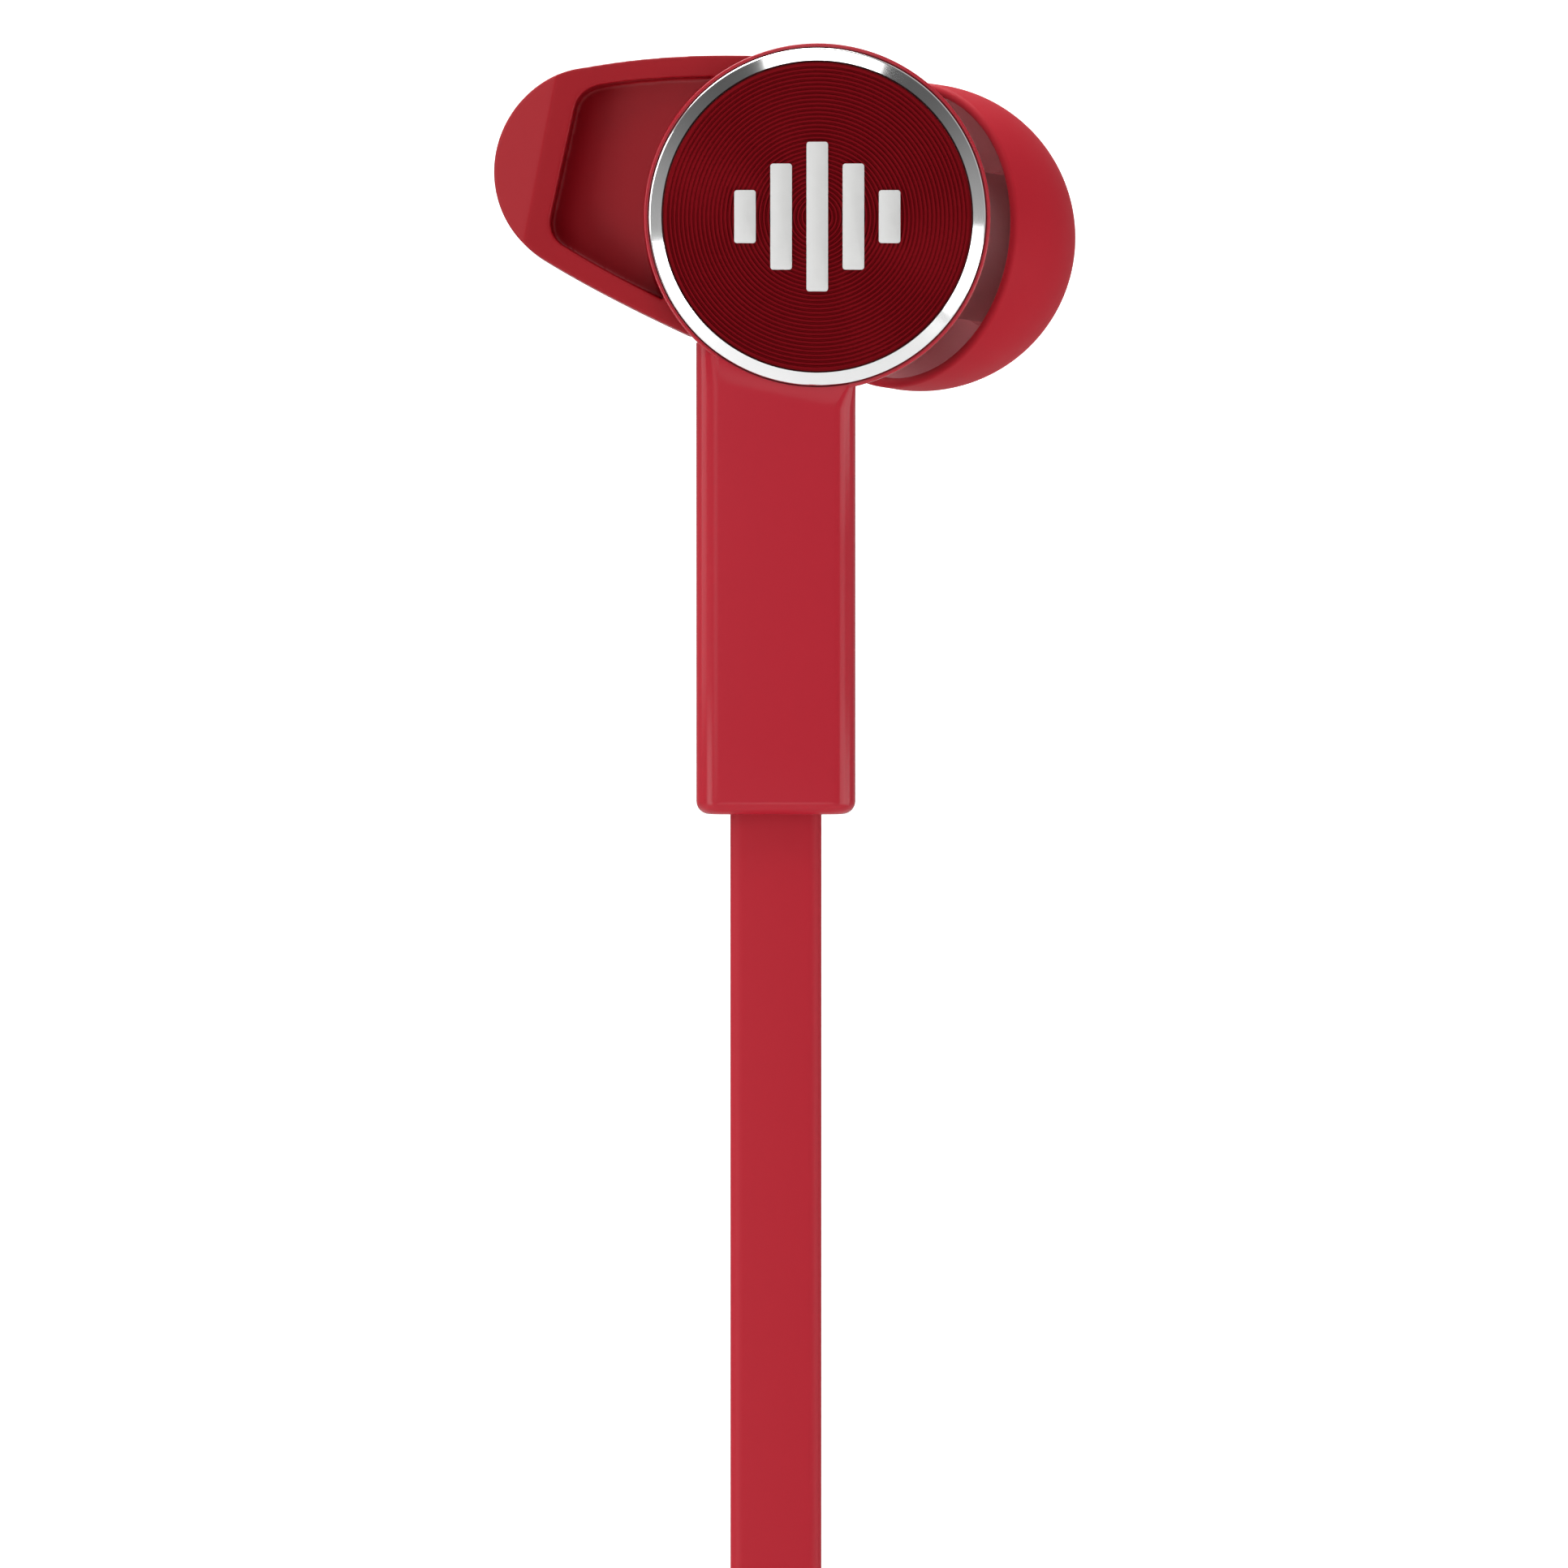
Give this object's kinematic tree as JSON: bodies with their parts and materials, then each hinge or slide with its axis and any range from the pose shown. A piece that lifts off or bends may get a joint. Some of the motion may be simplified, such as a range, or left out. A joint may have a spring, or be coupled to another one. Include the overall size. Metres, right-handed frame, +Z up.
{
  "type": "in-ear earphone",
  "caption": "In-ear earphone: round turned faceplate in a chrome ring, angled ear tip, stabiliser wing, stem, and a flat lead that ends in a jack plug.",
  "frame": {"origin": "centre of the ear tip's widest section, which is where the ear canal holds the earpiece", "axes": "+Z up along the stem as worn, -Y out of the faceplate, +X to the side that the nozzle leans to"},
  "size_m": [0.0246, 0.044, 0.1578],
  "materials": {
    "face_metal": "dark red anodised, fine concentric turning lines",
    "chrome_ring": "polished",
    "badge_silver": "satin",
    "red_plastic": "satin gloss",
    "dark_plastic": "gloss",
    "steel_mesh": "fine woven mesh",
    "black_foam": "open-cell foam",
    "steel": "plated",
    "magnet": "nickel-plated neodymium",
    "copper": "enamelled copper",
    "film": "thin clear film",
    "board": "solder-masked circuit board",
    "black_plastic": "satin",
    "red_silicone": "matte silicone",
    "tip_silicone": "soft-touch silicone",
    "cord_rubber": "satin flat jacket",
    "tie_rubber": "matte silicone",
    "gold": "gold-plated"
  },
  "bodies": {
    "earpiece": {"faceplate": "face_metal", "bezel_ring": "chrome_ring", "badge_bar_1": "badge_silver", "badge_bar_2": "badge_silver", "badge_bar_3": "badge_silver", "badge_bar_4": "badge_silver", "badge_bar_5": "badge_silver", "front_shell": "red_plastic", "rear_shell": "dark_plastic", "vent_screen": "steel_mesh", "nozzle_screen": "steel_mesh", "damping_foam": "black_foam", "driver_frame": "steel", "driver_yoke": "steel", "driver_magnet": "magnet", "driver_pole_plate": "steel", "driver_gasket": "black_foam", "terminal_board": "board", "cord_anchor": "black_plastic", "signal_wire": "copper", "ground_wire": "black_plastic", "stem": "red_plastic", "cord_bush": "red_silicone", "lead": "cord_rubber", "lead_hank": "cord_rubber", "lead_tail": "cord_rubber", "hank_tie": "tie_rubber", "plug_boot": "red_silicone", "plug_shell": "red_plastic", "plug_sleeve": "gold", "plug_insulator_rear": "black_plastic", "plug_ring": "gold", "plug_insulator_front": "black_plastic", "plug_tip": "gold"},
    "tip": {"ear_tip": "tip_silicone"},
    "wing": {"ear_wing": "red_silicone"},
    "cone": {"diaphragm": "film", "voice_coil": "copper"}
  },
  "joints": [
    {"name": "ear_tip_pull", "type": "slide", "parent": "earpiece", "child": "tip", "axis": [0.6777, 0.7314, -0.076], "range_m": [0, 0.008]},
    {"name": "wing_twist", "type": "hinge", "parent": "earpiece", "child": "wing", "pos_m": [-0.00444, -0.01099, 0.0005], "axis": [0, 1, 0], "range_deg": [0, 12]},
    {"name": "diaphragm_travel", "type": "slide", "parent": "earpiece", "child": "cone", "axis": [0, 1, 0], "range_m": [-0.0002, 0.0002], "stiffness_N_per_m": 400}
  ]
}
